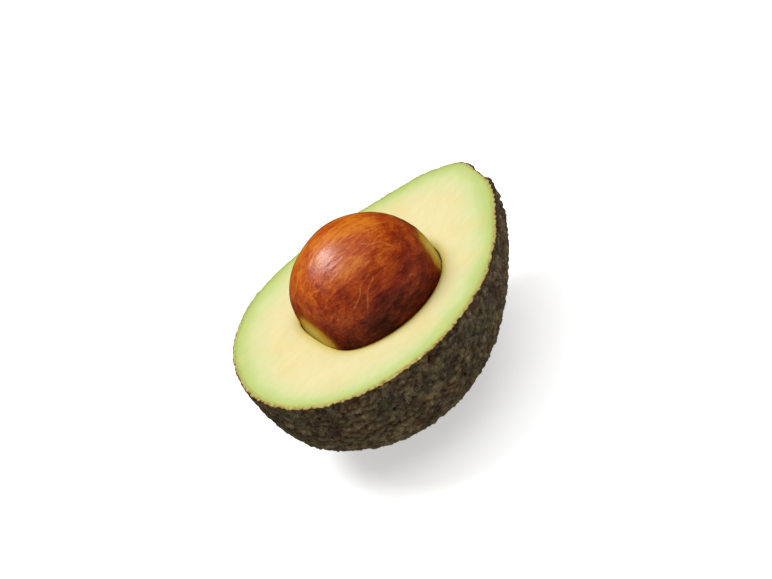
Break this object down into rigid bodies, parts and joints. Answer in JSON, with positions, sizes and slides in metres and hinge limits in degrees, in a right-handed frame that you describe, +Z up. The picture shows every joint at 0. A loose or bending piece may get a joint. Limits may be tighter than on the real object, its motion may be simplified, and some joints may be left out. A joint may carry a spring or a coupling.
{
  "type": "avocado half with stone",
  "caption": "Avocado half, cut lengthwise and lying on its back: pebbled dark skin, green-rimmed pale flesh and the stone in its hollow.",
  "frame": {"origin": "middle of the small flat spot under the skin, on the surface that the half lies on", "axes": "+X along the fruit to its stem end, +Y across the cut face, +Z up, square to the cut face"},
  "size_m": [0.0916, 0.0706, 0.0571],
  "materials": {
    "skin": "satin",
    "flesh": "satin",
    "stone": "gloss"
  },
  "bodies": {
    "root": {"skin": "skin", "flesh": "flesh", "stone": "stone"}
  },
  "joints": []
}
